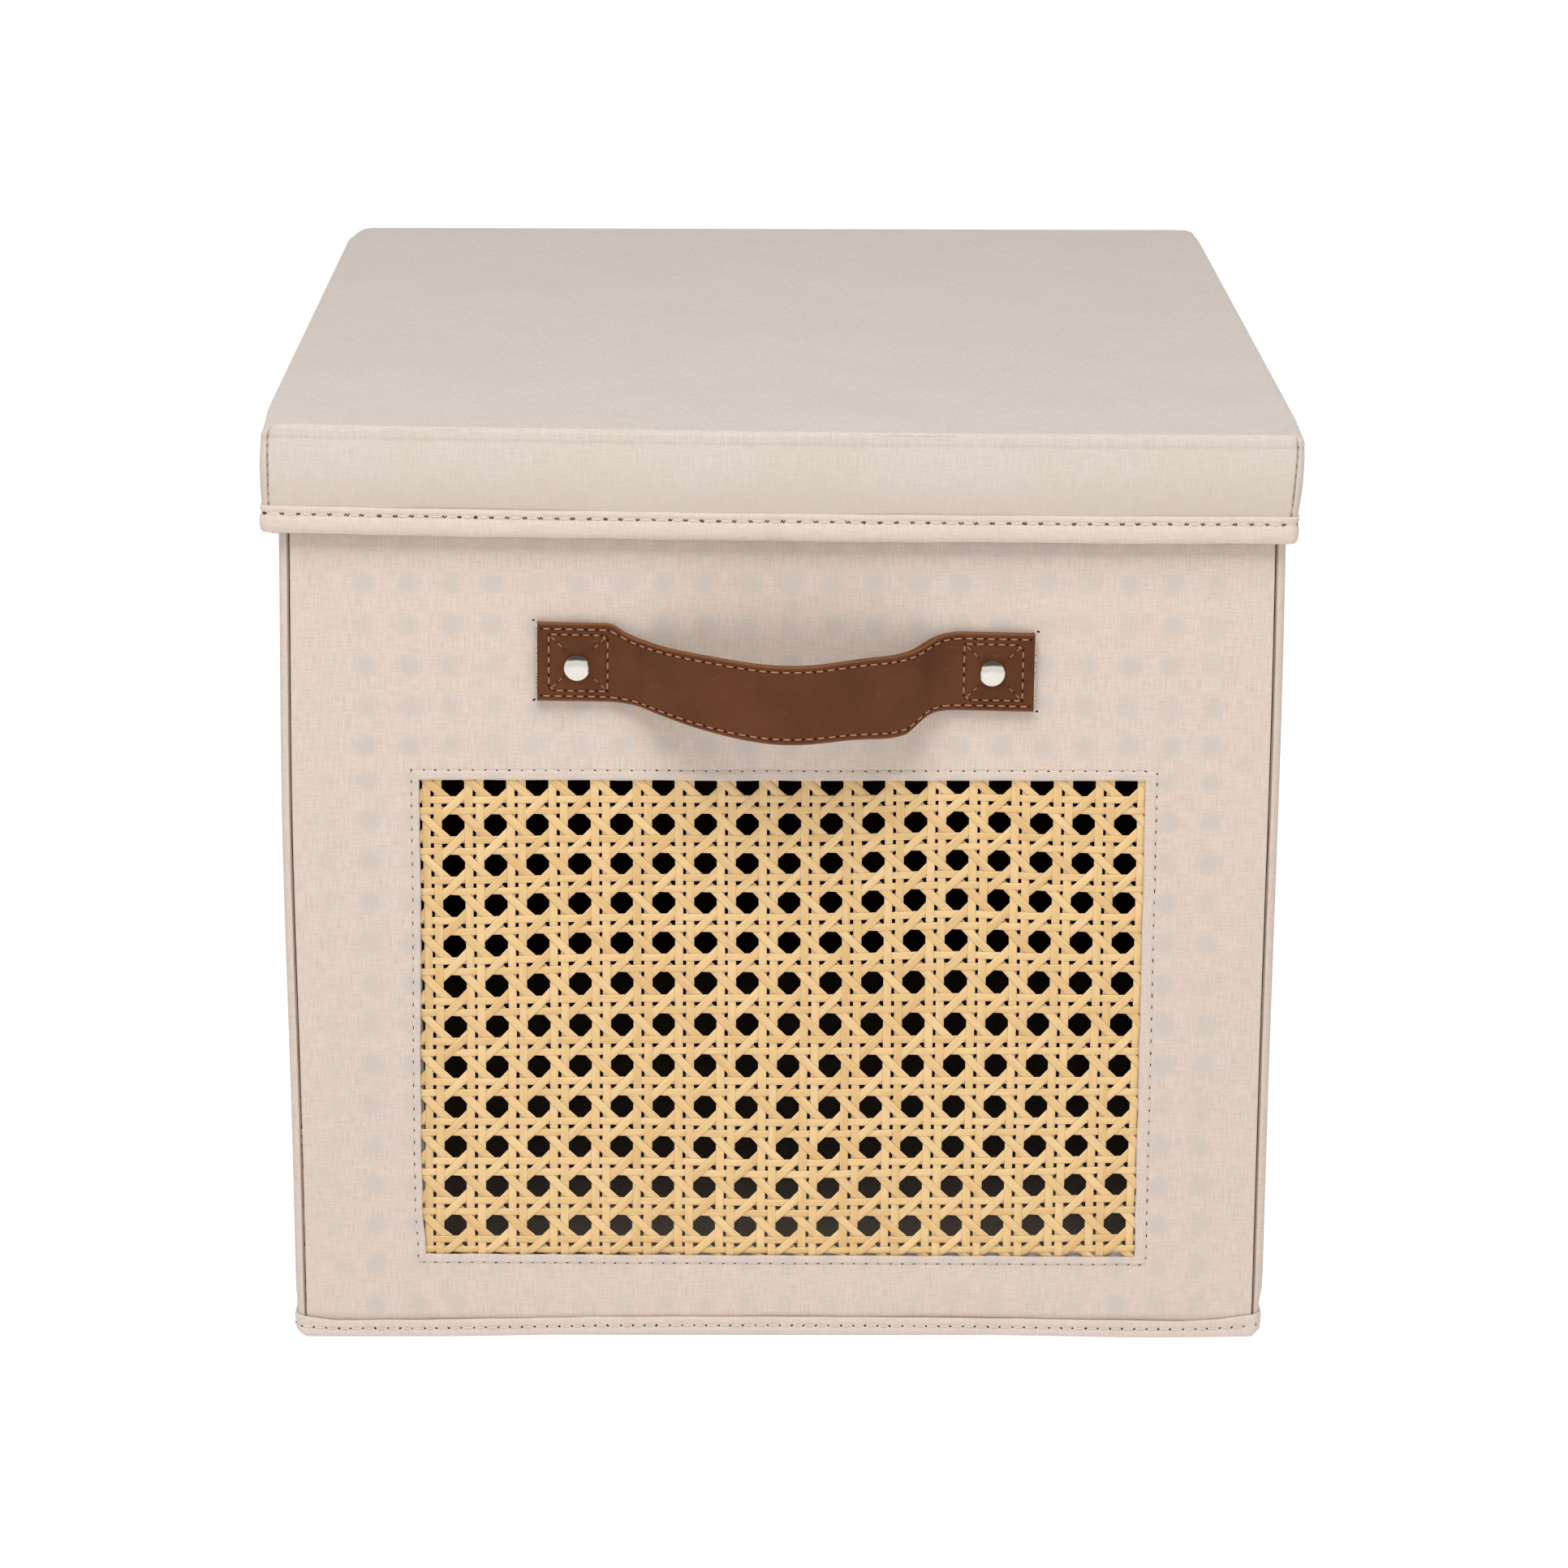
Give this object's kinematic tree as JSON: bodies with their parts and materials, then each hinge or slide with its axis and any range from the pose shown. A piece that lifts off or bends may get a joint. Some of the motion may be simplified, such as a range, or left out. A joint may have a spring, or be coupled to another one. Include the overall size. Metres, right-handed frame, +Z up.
{
  "type": "fabric storage bin",
  "caption": "Boxy fabric storage bin with stiffened walls, a lift-off lid, a cane-webbing window and a riveted strap handle on the front.",
  "frame": {"origin": "centre of the bin's underside, on the floor", "axes": "+X to the right seen from the front, -Y out of the front, +Z up"},
  "size_m": [0.3108, 0.4076, 0.287],
  "materials": {
    "bin_cloth": "warm beige plain-weave cloth",
    "lid_cloth": "grey-beige plain-weave cloth",
    "tape": "folded binding tape",
    "lining_cloth": "warm grey woven lining",
    "cane": "pale straw cane, satin",
    "stiffener": "grey board",
    "strap": "smooth brown leather-look strap",
    "thread": "sewing thread",
    "nickel": "bright nickel"
  },
  "bodies": {
    "bin": {"back_board": "stiffener", "back_cover": "bin_cloth", "back_lining": "lining_cloth", "bottom_binding": "tape", "bottom_cover": "bin_cloth", "bottom_lining": "lining_cloth", "bottom_stitching": "thread", "cane_webbing": "cane", "front_board": "stiffener", "front_cover": "bin_cloth", "front_lining": "lining_cloth", "handle_back_ply_left": "strap", "handle_back_ply_right": "strap", "handle_front_ply_left": "strap", "handle_front_ply_right": "strap", "left_board": "stiffener", "left_cover": "bin_cloth", "left_lining": "lining_cloth", "right_board": "stiffener", "right_cover": "bin_cloth", "right_lining": "lining_cloth", "rim_binding": "tape", "rivet_backs": "nickel", "rivet_caps": "nickel", "window_stitching": "thread"},
    "lid": {"lid_back_cover": "lid_cloth", "lid_back_strip": "stiffener", "lid_binding": "tape", "lid_board": "stiffener", "lid_front_cover": "lid_cloth", "lid_front_strip": "stiffener", "lid_left_cover": "lid_cloth", "lid_left_strip": "stiffener", "lid_lining": "lining_cloth", "lid_right_cover": "lid_cloth", "lid_right_strip": "stiffener", "lid_stitching": "thread", "lid_top_cover": "lid_cloth"},
    "handle": {"handle_front_ply_grip": "strap", "handle_back_ply_grip": "strap"},
    "base": {"base_board": "stiffener", "base_cover_top": "lining_cloth", "base_cover_bottom": "lining_cloth"}
  },
  "joints": [
    {"name": "lid_lift", "type": "slide", "parent": "bin", "child": "lid", "axis": [0, 0, 1], "range_m": [0, 0.15]},
    {"name": "handle_swing", "type": "hinge", "parent": "bin", "child": "handle", "pos_m": [0.0011, -0.1913, 0.2141], "axis": [-1, 0, 0], "range_deg": [-20, 50]},
    {"name": "base_lift", "type": "slide", "parent": "bin", "child": "base", "axis": [0, 0, 1], "range_m": [0, 0.25]}
  ]
}
